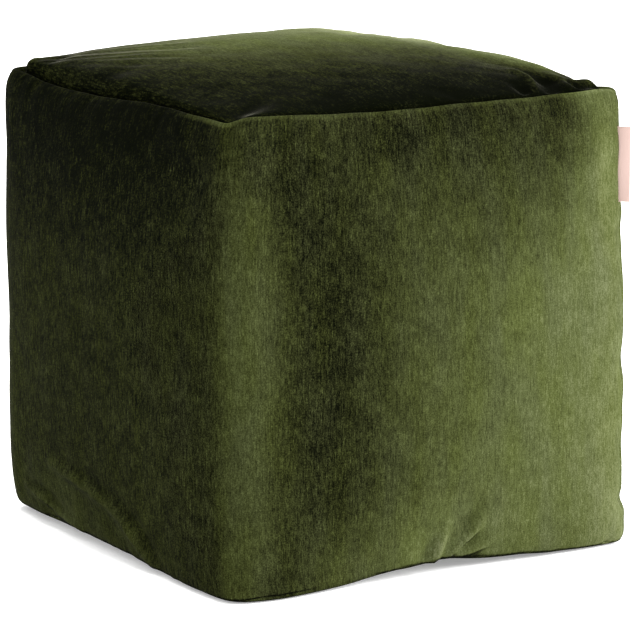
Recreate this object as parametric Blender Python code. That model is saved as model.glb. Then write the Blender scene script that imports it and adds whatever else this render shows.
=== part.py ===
"""A cube pouf in velvet: a top panel, one band round the four sides and a bottom panel.

The pieces are sewn edge to edge over one soft filling, so each is modelled filled, and the
three meet on flat planes inside the pouf. A folded ribbon label stands in the band's
closing seam. Metres, +Z up, with the origin on the floor under the middle of the pouf.
+X runs along the front face towards the closing seam, and -Y is the front face's normal.
"""

from collections import namedtuple
from math import atan2, cos, exp, hypot, pi, sin, sqrt

import bmesh
import bpy

# Driving sizes
SEWN_GAP = 0.0003
LIP_HEIGHT = 0.4064
BOTTOM_SEAM_HEIGHT = 0.0056
TOP_SEAM_HEIGHT = 0.4022
CROWN_RISE = 0.0318
CENTRE_SHIFT = 0.0020  # brings the outer box back over the origin

# How finely the round is divided
SIDE_STEPS = 20
SOFT_CORNER = (0.0, 0.125, 0.25, 0.375, 0.5, 0.625, 0.75, 0.875)
SEWN_CORNER = (0.0, 0.22, 0.36, 0.44, 0.5, 0.56, 0.64, 0.78)
RINGS_BETWEEN_SECTIONS = 2

# The closing seam draws a groove down the middle of its corner
GROOVE_DEPTH = 0.0095
GROOVE_REACH = 0.17  # to each side, as a share of the corner's turn
GROOVE_SHARPNESS = 1.5

# One level of the band. half: from the middle to a side's corners. bulge: how far the side
# stands out in its middle. radius: of the corners. draw: how far the seam pulls its corner in.
Section = namedtuple("Section", "height half bulge radius draw")
BAND_SECTIONS = (
    Section(height=BOTTOM_SEAM_HEIGHT, half=0.2032, bulge=0.0045, radius=0.021, draw=0.0010),
    Section(height=0.0110, half=0.2070, bulge=0.0055, radius=0.023, draw=0.0010),
    Section(height=0.0250, half=0.2095, bulge=0.0065, radius=0.026, draw=0.0015),
    Section(height=0.0550, half=0.2108, bulge=0.0085, radius=0.030, draw=0.0025),
    Section(height=0.1100, half=0.2115, bulge=0.0100, radius=0.033, draw=0.0030),
    Section(height=0.1900, half=0.2117, bulge=0.0110, radius=0.034, draw=0.0035),
    Section(height=0.2700, half=0.2117, bulge=0.0108, radius=0.033, draw=0.0055),
    Section(height=0.3300, half=0.2108, bulge=0.0090, radius=0.029, draw=0.0070),
    Section(height=0.3700, half=0.2090, bulge=0.0065, radius=0.024, draw=0.0070),
    Section(height=0.3930, half=0.2060, bulge=0.0040, radius=0.018, draw=0.0060),
    Section(height=0.4030, half=0.2010, bulge=0.0020, radius=0.013, draw=0.0045),
    Section(height=LIP_HEIGHT, half=0.1965, bulge=0.0012, radius=0.009, draw=0.0030),
)
SEAM_VALLEY = Section(
    height=TOP_SEAM_HEIGHT, half=0.1938, bulge=0.0012, radius=0.008, draw=0.0030
)

# The top panel's rings, from its seam to its middle, as parts of the panel's half width
TOP_SEAM = Section(
    height=TOP_SEAM_HEIGHT + SEWN_GAP, half=0.1928, bulge=0.0012, radius=0.008, draw=0.0030
)
CROWN_RINGS = (1.0, 0.992, 0.975, 0.94, 0.885, 0.80, 0.68, 0.52, 0.32, 0.10)
CROWN_ROUNDNESS = 1.6
CROWN_STEEPNESS = 0.20
CROWN_LEAN = 0.35  # the filling stands higher towards the back

BOTTOM_SECTIONS = (
    Section(height=0.0, half=0.1880, bulge=0.0045, radius=0.026, draw=0.0010),
    Section(height=0.0012, half=0.1985, bulge=0.0050, radius=0.023, draw=0.0010),
    Section(height=0.0032, half=0.2040, bulge=0.0050, radius=0.021, draw=0.0010),
    Section(
        height=BOTTOM_SEAM_HEIGHT - SEWN_GAP, half=0.2025, bulge=0.0045, radius=0.021, draw=0.0010
    ),
)

# Soft folds in the band, each a straight run over one side. along: from the side's middle,
# to the right as one faces it. depth: into the pouf, so a ridge is negative.
Fold = namedtuple("Fold", "side start_along start_height end_along end_height spread depth")
FRONT, RIGHT, BACK, LEFT = range(4)
FOLDS = (
    Fold(FRONT, 0.130, 0.355, 0.136, 0.392, spread=0.014, depth=0.0040),
    Fold(FRONT, 0.172, 0.315, 0.168, 0.380, spread=0.014, depth=-0.0020),
    Fold(FRONT, 0.072, 0.064, 0.018, 0.014, spread=0.012, depth=0.0045),
    Fold(FRONT, -0.015, 0.004, 0.055, 0.004, spread=0.035, depth=0.0140),
    Fold(FRONT, -0.090, 0.050, -0.085, 0.330, spread=0.050, depth=0.0015),
    Fold(LEFT, -0.070, 0.072, 0.068, 0.030, spread=0.014, depth=0.0040),
    Fold(LEFT, -0.120, 0.034, 0.060, 0.010, spread=0.010, depth=0.0030),
    Fold(LEFT, -0.120, 0.004, -0.075, 0.004, spread=0.025, depth=0.0070),
    Fold(RIGHT, -0.110, 0.060, -0.040, 0.024, spread=0.014, depth=0.0035),
    Fold(BACK, 0.040, 0.050, 0.110, 0.020, spread=0.014, depth=0.0035),
)

# The label: a ribbon folded once round its outer edge, its raw ends held in the seam
LABEL_FOOT = 0.309
LABEL_HEIGHT = 0.067
LABEL_INNER = 0.2770  # out from the pouf's middle, along the corner's diagonal
LABEL_OUTER = 0.2905
LABEL_LAYER = 0.0010
LABEL_LAYER_GAP = 0.0005
LABEL_FOLD_STEPS = 8

# Finishes: linear colour and roughness
VELVET = ((0.060, 0.085, 0.030), 0.85)
RIBBON = ((0.86, 0.62, 0.52), 0.60)
CREASE_ANGLE = pi / 4  # edges sharper than this are shaded sharp


def between(sections, steps):
    """The sections with more of them in between, on one smooth curve (Catmull-Rom)."""
    smooth = []
    last = len(sections) - 1
    for index in range(last):
        before, start = sections[max(index - 1, 0)], sections[index]
        end, after = sections[index + 1], sections[min(index + 2, last)]
        for step in range(steps):
            t = step / steps
            values = (
                b + 0.5 * t * (c - a + t * (2 * a - 5 * b + 4 * c - d + t * (3 * (b - c) + d - a)))
                for a, b, c, d in zip(before, start, end, after)
            )
            smooth.append(Section(*values))
        smooth[-steps] = start
    return smooth + [sections[last]]


def groove(share):
    """Depth of the closing seam's groove at a share of the way round its corner."""
    return GROOVE_DEPTH * max(0.0, 1.0 - abs(share - 0.5) / GROOVE_REACH) ** GROOVE_SHARPNESS


def outline(section, grooved):
    """Points round one level, each with the direction it faces and its groove depth.

    Four shallow arcs make the sides and a small arc joins each two of them.
    """
    side_radius = (section.half**2 + section.bulge**2) / (2 * section.bulge)
    side_centre = side_radius - section.half - section.bulge
    reach = side_radius - section.radius
    corner = (sqrt(2 * reach**2 - side_centre**2) - side_centre) / 2
    turn = atan2(corner, side_centre + corner)
    points = []
    for side in range(4):
        facing = (side - 1) * pi / 2
        for step in range(SIDE_STEPS):
            angle = facing + turn * (2 * step / SIDE_STEPS - 1)
            x = side_radius * cos(angle) - side_centre * cos(facing)
            y = side_radius * sin(angle) - side_centre * sin(facing)
            points.append((x, y, angle, 0.0))
        sewn = grooved and side == FRONT
        for share in SEWN_CORNER if side == FRONT else SOFT_CORNER:
            angle = facing + turn + share * (pi / 2 - 2 * turn)
            x = corner * (cos(facing) - sin(facing)) + section.radius * cos(angle)
            y = corner * (sin(facing) + cos(facing)) + section.radius * sin(angle)
            points.append((x, y, angle, groove(share) if sewn else 0.0))
    return points


def fold_depth(side, along, height):
    """How far the folds of one side push in at a place on it."""
    depth = 0.0
    for fold in FOLDS:
        if fold.side != side:
            continue
        run = (fold.end_along - fold.start_along, fold.end_height - fold.start_height)
        offset = (along - fold.start_along, height - fold.start_height)
        share = (offset[0] * run[0] + offset[1] * run[1]) / (run[0] ** 2 + run[1] ** 2)
        share = min(max(share, 0.0), 1.0)
        distance = hypot(offset[0] - share * run[0], offset[1] - share * run[1])
        depth += fold.depth * exp(-((distance / fold.spread) ** 2))
    return depth


def ring(section, scale=1.0, grooved=False, folded=False):
    """One level's vertices, with the sewn corner drawn in, the groove and the folds."""
    vertices = []
    for x, y, angle, inset in outline(section, grooved):
        if folded:
            for side in range(4):
                facing = (side - 1) * pi / 2
                share = max(0.0, cos(angle - facing)) ** 2
                along = y * cos(facing) - x * sin(facing)
                inset += share * fold_depth(side, along, section.height)
        x -= inset * cos(angle)
        y -= inset * sin(angle)
        near_sewn_corner = (1 + x / section.half) * (1 - y / section.half) / 4
        x += CENTRE_SHIFT - section.draw * near_sewn_corner
        y += section.draw * near_sewn_corner - CENTRE_SHIFT
        vertices.append((x * scale, y * scale, section.height))
    return vertices


def crown(vertex, scale):
    """The vertex raised to the top panel's crown, at this share of its half width."""
    x, y, z = vertex
    inward = min(abs(x), abs(y)) / TOP_SEAM.half
    rise = (1 - scale**CROWN_ROUNDNESS) * (1 - min(inward, 1.0) ** CROWN_ROUNDNESS)
    return x, y, z + CROWN_RISE * rise**CROWN_STEEPNESS * (1 + CROWN_LEAN * y / TOP_SEAM.half)


def material(name, colour, roughness):
    """A plain Principled material."""
    made = bpy.data.materials.new(name)
    made.use_nodes = True
    shader = made.node_tree.nodes["Principled BSDF"]
    shader.inputs["Base Color"].default_value = (*colour, 1.0)
    shader.inputs["Roughness"].default_value = roughness
    shader.inputs["Metallic"].default_value = 0.0
    return made


def closed_body(name, rings, finish):
    """A solid through a stack of rings, each level bridged to the next, both ends closed."""
    shape = bmesh.new()
    levels = [[shape.verts.new(vertex) for vertex in level] for level in rings]
    for lower, upper in zip(levels, levels[1:]):
        for index, corner in enumerate(lower):
            following = (index + 1) % len(lower)
            shape.faces.new((corner, lower[following], upper[following], upper[index]))
    shape.faces.new(reversed(levels[0]))
    shape.faces.new(levels[-1])
    bmesh.ops.recalc_face_normals(shape, faces=shape.faces)
    mesh = bpy.data.meshes.new(name)
    shape.to_mesh(mesh)
    shape.free()
    mesh.shade_smooth()
    mesh.set_sharp_from_angle(angle=CREASE_ANGLE)
    mesh.materials.append(finish)
    body = bpy.data.objects.new(name, mesh)
    bpy.context.collection.objects.link(body)
    return body


def side_band(finish):
    """The strip that wraps the four sides, up over its lip and down to the top seam."""
    levels = between(BAND_SECTIONS, RINGS_BETWEEN_SECTIONS)
    rings = [ring(level, grooved=True, folded=True) for level in levels]
    rings.append(ring(SEAM_VALLEY))
    return closed_body("side_band", rings, finish)


def top_panel(finish):
    """The filled top, which rises steeply from its seam to a broad crown."""
    rings = []
    for scale in CROWN_RINGS:
        rings.append([crown(vertex, scale) for vertex in ring(TOP_SEAM, scale)])
    middle = max(z for x, y, z in rings[-1])
    rings[-1] = [(x, y, middle) for x, y, z in rings[-1]]
    return closed_body("top_panel", rings, finish)


def bottom_panel(finish):
    """The filled bottom, pressed flat where it stands on the floor."""
    rings = [ring(section, folded=True) for section in BOTTOM_SECTIONS]
    return closed_body("bottom_panel", rings, finish)


def label(finish):
    """The folded ribbon, a U seen from above, standing out along the sewn corner's diagonal."""
    outer = LABEL_LAYER + LABEL_LAYER_GAP / 2
    inner = LABEL_LAYER_GAP / 2
    bend = LABEL_OUTER - outer
    section = [(LABEL_INNER, -inner), (LABEL_INNER, -outer)]
    for step in range(LABEL_FOLD_STEPS + 1):
        angle = pi * (step / LABEL_FOLD_STEPS - 0.5)
        section.append((bend + outer * cos(angle), outer * sin(angle)))
    section += [(LABEL_INNER, outer), (LABEL_INNER, inner)]
    for step in range(LABEL_FOLD_STEPS + 1):
        angle = pi * (0.5 - step / LABEL_FOLD_STEPS)
        section.append((bend + inner * cos(angle), inner * sin(angle)))
    diagonal = sqrt(0.5)
    levels = []
    for height in (LABEL_FOOT, LABEL_FOOT + LABEL_HEIGHT):
        levels.append([
            (diagonal * (out + across), diagonal * (across - out), height)
            for out, across in section
        ])
    return closed_body("label", levels, finish)


for old in list(bpy.data.objects):
    bpy.data.objects.remove(old, do_unlink=True)

side_band(material("side_velvet", *VELVET))
top_panel(material("top_velvet", *VELVET))
bottom_panel(material("bottom_velvet", *VELVET))
label(material("label_ribbon", *RIBBON))
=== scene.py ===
"""A cube pouf in dark olive velvet: a band wrapped round four sides, a crowned top, a flat
bottom, and a folded ribbon label in the band's closing seam. Metres, +Z up."""

from collections import namedtuple
from math import cos, hypot, pi, radians, sin, sqrt

import bpy
import numpy as np
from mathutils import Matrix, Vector, noise


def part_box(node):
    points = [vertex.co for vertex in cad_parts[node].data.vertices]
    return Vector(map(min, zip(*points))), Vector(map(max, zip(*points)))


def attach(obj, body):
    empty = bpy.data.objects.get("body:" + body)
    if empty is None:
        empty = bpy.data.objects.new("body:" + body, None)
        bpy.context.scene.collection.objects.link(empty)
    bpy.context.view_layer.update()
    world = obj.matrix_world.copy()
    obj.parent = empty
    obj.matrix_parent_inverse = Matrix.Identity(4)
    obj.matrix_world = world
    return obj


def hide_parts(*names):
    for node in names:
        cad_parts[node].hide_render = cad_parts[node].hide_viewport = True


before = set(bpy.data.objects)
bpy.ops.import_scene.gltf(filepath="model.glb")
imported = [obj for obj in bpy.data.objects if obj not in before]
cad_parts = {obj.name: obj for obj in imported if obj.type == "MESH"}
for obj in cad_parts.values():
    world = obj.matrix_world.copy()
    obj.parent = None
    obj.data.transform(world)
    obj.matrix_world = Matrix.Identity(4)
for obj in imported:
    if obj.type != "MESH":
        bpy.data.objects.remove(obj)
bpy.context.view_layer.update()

# ---------------------------------------------------------------------------------------
# The side band: one strip of cut-pile velvet, wrapped round the four sides with soft folds
# at three corners and closed by a seam down the fourth. Its top edge stands up as a small
# rolled lip over the seam that joins it to the top panel.
# ---------------------------------------------------------------------------------------
MM = 0.001
band_low, band_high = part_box("side_band")
BAND_HALF = (band_high.x - band_low.x) / 2
LIP_HEIGHT = band_high.z
FOOT_HEIGHT = band_low.z
CENTRE = (2.0 * MM, -2.0 * MM)  # the seams' middle, beside the middle of the outer box
FRONT, RIGHT, BACK, LEFT = range(4)

# Levels of the band, from its lower edge inside the pouf, under the rolled foot, up the side
# and over the lip: the height in metres, and in mm how far the corners lie inside the outer
# box, how far the side bulges between them, the corners' radius, and how far the sewn corner
# is drawn in.
Level = namedtuple("Level", "height inset bulge radius draw")
BAND_LEVELS = (
    Level(22.0 * MM, inset=36.8, bulge=3.0, radius=14, draw=1.0),
    Level(5.8 * MM, inset=37.0, bulge=3.0, radius=14, draw=1.0),
    Level(2.4 * MM, inset=36.4, bulge=3.0, radius=14, draw=1.0),
    Level(0.9 * MM, inset=33.5, bulge=3.2, radius=15, draw=1.0),
    Level(0.7 * MM, inset=27.0, bulge=3.6, radius=17, draw=1.0),
    Level(0.9 * MM, inset=20.5, bulge=4.2, radius=18, draw=1.0),
    Level(2.6 * MM, inset=16.8, bulge=4.8, radius=20, draw=1.0),
    Level(8.5 * MM, inset=14.4, bulge=5.4, radius=22, draw=1.0),
    Level(FOOT_HEIGHT + 13 * MM, inset=12.8, bulge=6.2, radius=25, draw=1.5),
    Level(FOOT_HEIGHT + 45 * MM, inset=11.2, bulge=8.3, radius=29, draw=2.5),
    Level(FOOT_HEIGHT + 105 * MM, inset=10.5, bulge=10.0, radius=33, draw=3.0),
    Level(FOOT_HEIGHT + 185 * MM, inset=10.3, bulge=11.0, radius=34, draw=3.5),
    Level(LIP_HEIGHT - 136 * MM, inset=10.3, bulge=10.8, radius=33, draw=5.5),
    Level(LIP_HEIGHT - 76 * MM, inset=11.2, bulge=9.0, radius=29, draw=7.0),
    Level(LIP_HEIGHT - 36 * MM, inset=13.0, bulge=6.5, radius=23, draw=7.0),
    Level(LIP_HEIGHT - 13.5 * MM, inset=16.0, bulge=4.0, radius=17, draw=6.0),
    Level(LIP_HEIGHT - 4.0 * MM, inset=20.0, bulge=2.0, radius=12, draw=4.5),
    Level(LIP_HEIGHT - 0.8 * MM, inset=22.6, bulge=1.5, radius=10, draw=3.5),
    Level(LIP_HEIGHT, inset=25.0, bulge=1.2, radius=8.5, draw=3.0),
    Level(LIP_HEIGHT - 1.2 * MM, inset=27.2, bulge=1.2, radius=8, draw=3.0),
    Level(LIP_HEIGHT - 4.0 * MM, inset=28.2, bulge=1.2, radius=8, draw=3.0),
    Level(LIP_HEIGHT - 8.0 * MM, inset=29.0, bulge=1.2, radius=8, draw=3.0),
)
BAND_ROUND = 200  # cells of its grid round the pouf
BAND_RISE = 92  # and up it
FINE_ROWS = 5.0  # rows lie this much closer at the lip and at the foot
FINE_REACH = 9 * MM  # up and down from there
CURVE_STEPS = 4000


def smooth_levels(levels, count):
    """Many levels on one smooth curve through the given ones, as rows of numbers."""
    table = np.array([tuple(level) for level in levels], float)
    table[:, 1:] *= MM
    padded = np.vstack((table[0], table, table[-1]))
    place = np.linspace(0, len(table) - 1.000001, count)
    index = place.astype(int)
    t = (place - index)[:, None]
    a, b, c, d = (padded[index + step] for step in range(4))
    return b + 0.5 * t * (c - a + t * (2 * a - 5 * b + 4 * c - d + t * (3 * (b - c) + d - a)))


def band_rows(count):
    """The band's levels at the rows of its grid, closest together where it turns most, and
    each row's distance up the cloth."""
    fine = smooth_levels(BAND_LEVELS, CURVE_STEPS)
    height, inset = fine[:, 0], fine[:, 1]
    step = np.hypot(np.diff(height), np.diff(inset))
    middle = (height[1:] + height[:-1]) / 2
    edge = np.minimum(np.abs(middle - LIP_HEIGHT), np.abs(middle - FOOT_HEIGHT))
    weight = 1 + (FINE_ROWS - 1) * np.exp(-((edge / FINE_REACH) ** 2))
    length = np.concatenate(([0], np.cumsum(step * weight)))
    wanted = np.linspace(0, length[-1], count)
    rows = np.stack([np.interp(wanted, length, column) for column in fine.T], axis=1)
    cloth = np.concatenate(([0], np.cumsum(step)))
    return rows, np.interp(wanted, length, cloth)


def outline(around, half, bulge, radius):
    """Places round a level, at shares 0 to 4 from one corner's middle to the next.

    Returns x, y and the direction that each place faces. Four shallow arcs make the sides,
    and a small arc joins each two.
    """
    side_radius = (half**2 + bulge**2) / (2 * bulge)
    side_centre = side_radius - half - bulge
    reach = side_radius - radius
    corner = (np.sqrt(2 * reach**2 - side_centre**2) - side_centre) / 2
    turn = np.arctan2(corner, side_centre + corner)
    side = np.floor(around) % 4
    facing = (side - 1) * pi / 2
    side_length = turn * side_radius
    corner_length = (pi / 4 - turn) * radius
    along = ((around - np.floor(around)) * 2 - 1) * (side_length + corner_length)
    past = np.abs(along) > side_length
    sign = np.sign(along)
    angle = np.where(
        past,
        facing + sign * (turn + (np.abs(along) - side_length) / radius),
        facing + along / side_radius,
    )
    next_facing = facing + sign * pi / 2
    x = np.where(
        past,
        corner * (np.cos(facing) + np.cos(next_facing)) + radius * np.cos(angle),
        side_radius * np.cos(angle) - side_centre * np.cos(facing),
    )
    y = np.where(
        past,
        corner * (np.sin(facing) + np.sin(next_facing)) + radius * np.sin(angle),
        side_radius * np.sin(angle) - side_centre * np.sin(facing),
    )
    return x, y, angle


# How far in mm each corner stands out along its diagonal at the lip, half-way up and at the
# foot, and how far its sewn point pulls the lip down
Corner = namedtuple("Corner", "x y lip waist foot drop")
CORNERS = (
    Corner(-1, -1, lip=0.0, waist=0.0, foot=2.0, drop=1.0),
    Corner(1, -1, lip=3.0, waist=0.0, foot=3.2, drop=3.4),
    Corner(1, 1, lip=4.0, waist=0.0, foot=2.0, drop=3.0),
    Corner(-1, 1, lip=6.0, waist=-0.9, foot=-4.0, drop=1.0),
)
CORNER_DROP_WIDTH = 7  # mm


def placed(x, y, half, draw, up=None):
    """Moves a level's places to the seams' middle, draws the sewn corner in, and at heights
    from 0 to 1 shapes the four corners."""
    moved_x, moved_y = x + CENTRE[0], y + CENTRE[1]
    for corner in CORNERS:
        near = np.clip((1 + corner.x * x / half) * (1 + corner.y * y / half) / 4, 0, 1.2)
        if (corner.x, corner.y) == (1, -1):
            moved_x = moved_x - draw * near
            moved_y = moved_y + draw * near
        if up is not None:
            lip, foot = np.clip(up * 6 - 5, 0, 1) ** 1.5, np.clip(1 - up * 6, 0, 1) ** 1.5
            push = corner.lip * lip + corner.foot * foot + corner.waist * (1 - lip - foot)
            moved_x = moved_x + corner.x * push * MM * near**4 * sqrt(0.5)
            moved_y = moved_y + corner.y * push * MM * near**4 * sqrt(0.5)
    return moved_x, moved_y


# How uneven the band's edges are, in mm. along: from the side's middle to its right as one
# faces it. lip: how far the lip stands above its level. foot: how far the foot is lifted
# off the floor, and out: how far it stands out there, or is drawn in when below 0.
SIDE_LENGTH = 405
CLOTH_ROUND = 4 * SIDE_LENGTH * MM
Edge = namedtuple("Edge", "side along lip foot out")
BAND_EDGES = (
    Edge(FRONT, -198, lip=5.2, foot=0.2, out=3.0),
    Edge(FRONT, -165, lip=5.2, foot=0.0, out=9.0),
    Edge(FRONT, -130, lip=3.2, foot=0.8, out=7.0),
    Edge(FRONT, -94, lip=1.2, foot=2.4, out=4.0),
    Edge(FRONT, -60, lip=1.0, foot=6.4, out=1.0),
    Edge(FRONT, -30, lip=1.0, foot=8.6, out=0.0),
    Edge(FRONT, -12, lip=1.0, foot=8.4, out=0.0),
    Edge(FRONT, 3, lip=1.1, foot=11.4, out=-3.0),
    Edge(FRONT, 22, lip=1.3, foot=9.0, out=-3.0),
    Edge(FRONT, 45, lip=1.7, foot=5.8, out=-1.0),
    Edge(FRONT, 75, lip=2.1, foot=4.4, out=1.0),
    Edge(FRONT, 96, lip=2.3, foot=4.6, out=2.0),
    Edge(FRONT, 112, lip=2.4, foot=1.6, out=3.0),
    Edge(FRONT, 130, lip=2.4, foot=2.2, out=3.0),
    Edge(FRONT, 150, lip=2.8, foot=0.8, out=3.0),
    Edge(FRONT, 172, lip=4.0, foot=0.4, out=2.5),
    Edge(FRONT, 188, lip=4.6, foot=0.2, out=1.5),
    Edge(RIGHT, -190, lip=3.6, foot=0.5, out=2.0),
    Edge(RIGHT, -150, lip=-0.5, foot=0.5, out=2.0),
    Edge(RIGHT, -40, lip=-1.0, foot=4.0, out=-3.0),
    Edge(RIGHT, 70, lip=0.5, foot=1.0, out=1.0),
    Edge(RIGHT, 190, lip=3.0, foot=0.5, out=1.0),
    Edge(BACK, -120, lip=1.5, foot=2.0, out=-1.0),
    Edge(BACK, -30, lip=-0.5, foot=5.0, out=-5.0),
    Edge(BACK, 80, lip=1.5, foot=1.5, out=0.0),
    Edge(BACK, 190, lip=6.0, foot=3.0, out=0.0),
    Edge(LEFT, -190, lip=5.0, foot=4.6, out=-1.0),
    Edge(LEFT, -142, lip=0.0, foot=4.4, out=-1.0),
    Edge(LEFT, -107, lip=-1.8, foot=5.4, out=-2.0),
    Edge(LEFT, -47, lip=-2.6, foot=5.2, out=-2.0),
    Edge(LEFT, 31, lip=1.0, foot=5.0, out=-1.0),
    Edge(LEFT, 70, lip=1.8, foot=3.0, out=0.0),
    Edge(LEFT, 120, lip=1.6, foot=1.2, out=1.5),
    Edge(LEFT, 165, lip=0.0, foot=0.8, out=2.2),
    Edge(LEFT, 196, lip=-0.6, foot=0.3, out=0.8),
)
EDGE_SOFTNESS = 14  # mm
ROUND_STEPS = 1000  # to a side


def round_the_band(table, column, around, softness):
    """A column of a table at places round the band, eased over a few mm."""
    known = [row.side + 0.5 + row.along / SIDE_LENGTH for row in table]
    values = [getattr(row, column) for row in table]
    known = [known[-1] - 4] + known + [known[0] + 4]
    values = [values[-1]] + values + [values[0]]
    steps = np.linspace(-0.5, 4.5, 5 * ROUND_STEPS + 1)
    fine = np.interp(steps, known, values)
    reach = int(softness / SIDE_LENGTH * ROUND_STEPS)
    soft = np.convolve(np.pad(fine, reach, "edge"), np.ones(2 * reach + 1) / (2 * reach + 1), "valid")
    return np.interp(around % 4, steps, soft)


def lip_rise(around):
    """How far the top seam and the lip stand above their level, in metres."""
    wave = 0.35 * np.sin(around * 21.0) + 0.25 * np.sin(around * 47.0 + 1.0)
    rise = round_the_band(BAND_EDGES, "lip", around, softness=7) + wave
    for index, corner in enumerate(CORNERS):
        gap = np.abs((around - index + 2) % 4 - 2) * SIDE_LENGTH
        rise = rise - corner.drop * np.exp(-((gap / CORNER_DROP_WIDTH) ** 1.4))
    return rise * MM


def foot_lift(around):
    """How far the filling holds the foot and the bottom seam off the floor, in metres."""
    return round_the_band(BAND_EDGES, "foot", around, EDGE_SOFTNESS) * MM


def surface(name, round_steps, rise_steps):
    """A flat grid of cloth, ready to be wrapped: a primitive grid with its own UV map."""
    bpy.ops.object.select_all(action="DESELECT")
    bpy.ops.mesh.primitive_grid_add(x_subdivisions=round_steps, y_subdivisions=rise_steps, size=1)
    cloth = bpy.context.object
    cloth.name = name
    cloth.data.name = name
    return cloth


def points_of(obj):
    """A piece's vertices as an array."""
    places = np.empty(len(obj.data.vertices) * 3)
    obj.data.vertices.foreach_get("co", places)
    return places.reshape(-1, 3)


def move_points(obj, places):
    """Puts a piece's vertices where the array says."""
    obj.data.vertices.foreach_set("co", places.astype(np.float32).ravel())
    obj.data.update()


def cloth_map(obj):
    """The places on the flat cloth that a piece's UV map holds, one row to a face's corner."""
    uv = np.empty(len(obj.data.loops) * 2)
    obj.data.uv_layers[0].data.foreach_get("uv", uv)
    return uv.reshape(-1, 2)


def set_cloth_map(obj, uv):
    """Stores a piece's places on the flat cloth, in metres."""
    obj.data.uv_layers[0].data.foreach_set("uv", uv.ravel())


def edit(obj):
    """Opens a piece in edit mode with nothing selected."""
    bpy.ops.object.select_all(action="DESELECT")
    obj.select_set(True)
    bpy.context.view_layer.objects.active = obj
    bpy.ops.object.mode_set(mode="EDIT")
    bpy.ops.mesh.select_all(action="DESELECT")
    bpy.ops.mesh.select_mode(type="VERT")


def close_ends(obj, dish=False):
    """Closes each open edge with a face that no one sees, inside the pouf, and turns all
    faces outward. On a shallow dish Blender takes the inside for the outside."""
    edit(obj)
    bpy.ops.mesh.select_non_manifold()
    bpy.ops.mesh.edge_face_add()
    bpy.ops.mesh.select_all(action="SELECT")
    bpy.ops.mesh.normals_make_consistent(inside=dish)
    bpy.ops.object.mode_set(mode="OBJECT")


# The part of the band that is tucked under the foot, where it no longer stands out or in
TUCK_HEIGHT = 30 * MM
TUCK_INSET = 18 * MM
TUCK_END = 38 * MM
TUCK_FADE = 8 * MM


def band_grid():
    """The strip wrapped round the pouf: the grid's width runs round it, its height up it."""
    band = surface("velvet_band", BAND_ROUND, BAND_RISE)
    grid = points_of(band)
    around = 1 + (grid[:, 0] + 0.5) * 4
    rows, cloth = band_rows(BAND_RISE + 1)
    row = np.rint((grid[:, 1] + 0.5) * BAND_RISE).astype(int)
    height, inset, bulge, radius, draw = rows[row].T
    half = BAND_HALF - inset
    x, y, facing = outline(around, half, bulge, radius)
    x, y = placed(x, y, half, draw, up=height / LIP_HEIGHT)
    near_lip = np.clip((height - (LIP_HEIGHT - 60 * MM)) / (60 * MM), 0, 1) ** 2
    near_lip[row > BAND_RISE * 0.9] = 1
    near_foot = np.clip(1 - height / (70 * MM), 0, 1) ** 2
    lift = foot_lift(around) * near_foot
    tucked = (height < TUCK_HEIGHT) & (inset > TUCK_INSET)
    near_foot[tucked] *= np.clip((TUCK_END - inset[tucked]) / TUCK_FADE, 0, 1)
    out = round_the_band(BAND_EDGES, "out", around, EDGE_SOFTNESS) * MM * near_foot
    x, y = x + out * np.cos(facing), y + out * np.sin(facing)
    z = height + lip_rise(around) * near_lip + lift
    move_points(band, np.stack((x, y, z), axis=1))
    uv = cloth_map(band)
    uv[:, 0] *= CLOTH_ROUND
    uv[:, 1] = np.interp(uv[:, 1], np.linspace(0, 1, BAND_RISE + 1), cloth)
    set_cloth_map(band, uv)
    edit(band)
    bpy.ops.mesh.select_all(action="SELECT")
    bpy.ops.mesh.remove_doubles(threshold=0.01 * MM)
    bpy.ops.object.mode_set(mode="OBJECT")
    return band


def subdivided(obj):
    """One level of Subdivision Surface, applied."""
    finer = obj.modifiers.new("finer", "SUBSURF")
    finer.levels = finer.render_levels = 1
    finer.uv_smooth = "NONE"
    bpy.ops.object.select_all(action="DESELECT")
    bpy.context.view_layer.objects.active = obj
    bpy.ops.object.modifier_apply(modifier=finer.name)


def cloth_places(obj):
    """Each vertex's place on the flat cloth, in metres."""
    corner_of = np.empty(len(obj.data.loops), int)
    obj.data.loops.foreach_get("vertex_index", corner_of)
    places = np.zeros((len(obj.data.vertices), 2))
    places[corner_of] = cloth_map(obj)
    return places


def normals_of(obj):
    """A piece's vertex normals as an array."""
    found = np.empty(len(obj.data.vertices) * 3)
    obj.data.vertices.foreach_get("normal", found)
    return found.reshape(-1, 3)


def undulation(points, wavelength, seed):
    """Soft lumps from -1 to 1 of the filling behind the cloth."""
    shift = Vector((seed * 7.31, seed * 3.77, seed * 5.13))
    return np.array([noise.noise(Vector(p) / wavelength + shift) for p in points])


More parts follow.
